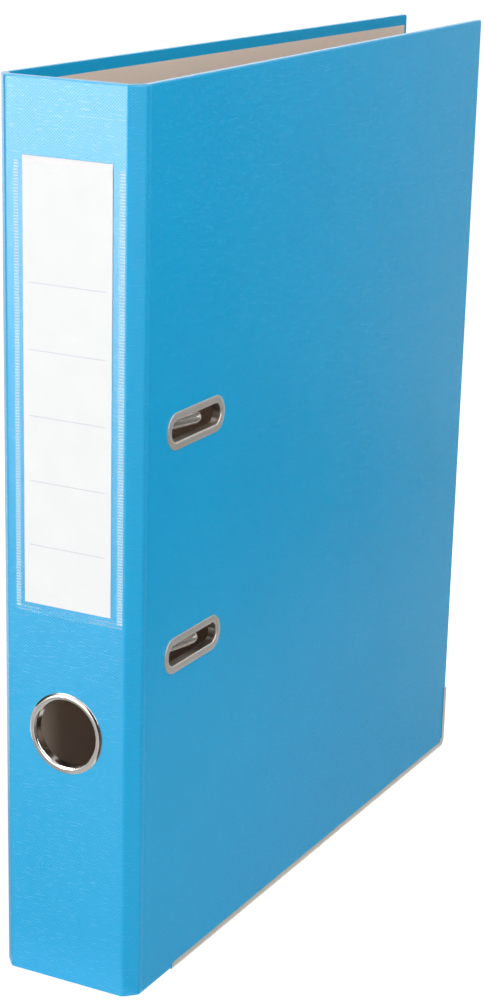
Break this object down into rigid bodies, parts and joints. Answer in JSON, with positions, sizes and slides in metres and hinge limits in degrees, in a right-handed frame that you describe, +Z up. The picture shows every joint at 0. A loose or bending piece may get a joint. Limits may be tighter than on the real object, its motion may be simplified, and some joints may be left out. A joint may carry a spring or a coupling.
{
  "type": "lever arch file",
  "caption": "Upright A4 lever arch file: film-covered board case with folding covers, finger ring and label pocket on the spine, and a lever-worked ring mechanism inside.",
  "frame": {"origin": "middle of the footprint, on the floor", "axes": "+Z up with the file standing, +X out of the front cover, -Y out of the spine"},
  "size_m": [0.0562, 0.2857, 0.318],
  "materials": {
    "blue_film": "embossed linen grain, satin",
    "grey_board": "raw",
    "grey_paper": "matt",
    "white_card": "matt",
    "clear_film": "clear gloss",
    "nickel": "nickel plated, bright",
    "steel": "plated, satin",
    "black_plastic": "satin"
  },
  "bodies": {
    "spine": {"spine_board": "grey_board", "spine_film": "blue_film", "spine_lining": "grey_paper", "finger_ring": "nickel", "finger_ring_backing": "nickel", "label_pocket": "clear_film"},
    "label": {"label_card": "white_card"},
    "front_strip": {"front_strip_board": "grey_board", "front_strip_film": "blue_film", "front_strip_lining": "grey_paper"},
    "front_cover": {"front_board": "grey_board", "front_film": "blue_film", "front_lining": "grey_paper", "slot_eyelet_upper": "nickel", "slot_eyelet_lower": "nickel", "slot_backing_upper": "nickel", "slot_backing_lower": "nickel", "front_edge_guard": "nickel"},
    "rear_strip": {"rear_strip_board": "grey_board", "rear_strip_film": "blue_film", "rear_strip_lining": "grey_paper"},
    "rear_cover": {"rear_board": "grey_board", "rear_film": "blue_film", "rear_lining": "grey_paper", "rear_edge_guard": "nickel", "base_plate": "steel", "mechanism_rivets": "nickel", "post_upper": "nickel", "post_lower": "nickel", "lever_bracket": "steel", "lever_pin": "nickel", "return_spring": "steel"},
    "rocker": {"rocker_bridge": "steel", "rocker_shaft": "nickel", "arch_upper": "nickel", "arch_lower": "nickel"},
    "lever": {"lever_arm": "nickel", "roller_pin": "nickel"},
    "roller": {"pressure_roller": "nickel"},
    "compressor": {"compressor_bar": "steel", "compressor_grips": "black_plastic"}
  },
  "joints": [
    {"name": "front_strip_fold", "type": "hinge", "parent": "spine", "child": "front_strip", "pos_m": [0.0235, -0.14215, 0], "axis": [0, 0, -1], "range_deg": [0, 90]},
    {"name": "front_cover_fold", "type": "hinge", "parent": "front_strip", "child": "front_cover", "pos_m": [0.02782, -0.13743, 0], "axis": [0, 0, -1], "range_deg": [0, 90]},
    {"name": "rear_strip_fold", "type": "hinge", "parent": "spine", "child": "rear_strip", "pos_m": [-0.0235, -0.14215, 0], "axis": [0, 0, 1], "range_deg": [0, 90]},
    {"name": "rear_cover_fold", "type": "hinge", "parent": "rear_strip", "child": "rear_cover", "pos_m": [-0.02782, -0.13743, 0], "axis": [0, 0, 1], "range_deg": [0, 90]},
    {"name": "rocker_swing", "type": "hinge", "parent": "rear_cover", "child": "rocker", "pos_m": [-0.01891, -0.12574, 0.162], "axis": [0, 0, -1], "range_deg": [0, 22], "deforming": ["return_spring"]},
    {"name": "lever_lift", "type": "hinge", "parent": "rear_cover", "child": "lever", "pos_m": [-0.01159, -0.11518, 0.186], "axis": [-0.0349, -0.9994, 0], "range_deg": [0, 75]},
    {"name": "roller_spin", "type": "hinge", "parent": "lever", "child": "roller", "pos_m": [-0.01379, -0.11511, 0.18219], "axis": [-0.0349, -0.9994, 0], "range_deg": [-75, 0]},
    {"name": "compressor_slide", "type": "slide", "parent": "rear_cover", "child": "compressor", "axis": [0.9994, -0.0349, 0], "range_m": [0, 0.032]},
    {"name": "label_slide", "type": "slide", "parent": "spine", "child": "label", "axis": [0, 0, 1], "range_m": [0, 0.15]}
  ],
  "couplings": [
    {"joint": "front_strip_fold", "follows": "front_cover_fold", "ratio": 1},
    {"joint": "rear_strip_fold", "follows": "rear_cover_fold", "ratio": 1},
    {"joint": "rocker_swing", "follows": "front_cover_fold", "ratio": 0.24444},
    {"joint": "lever_lift", "follows": "front_cover_fold", "ratio": 0.83333},
    {"joint": "roller_spin", "follows": "front_cover_fold", "ratio": -0.83333}
  ]
}
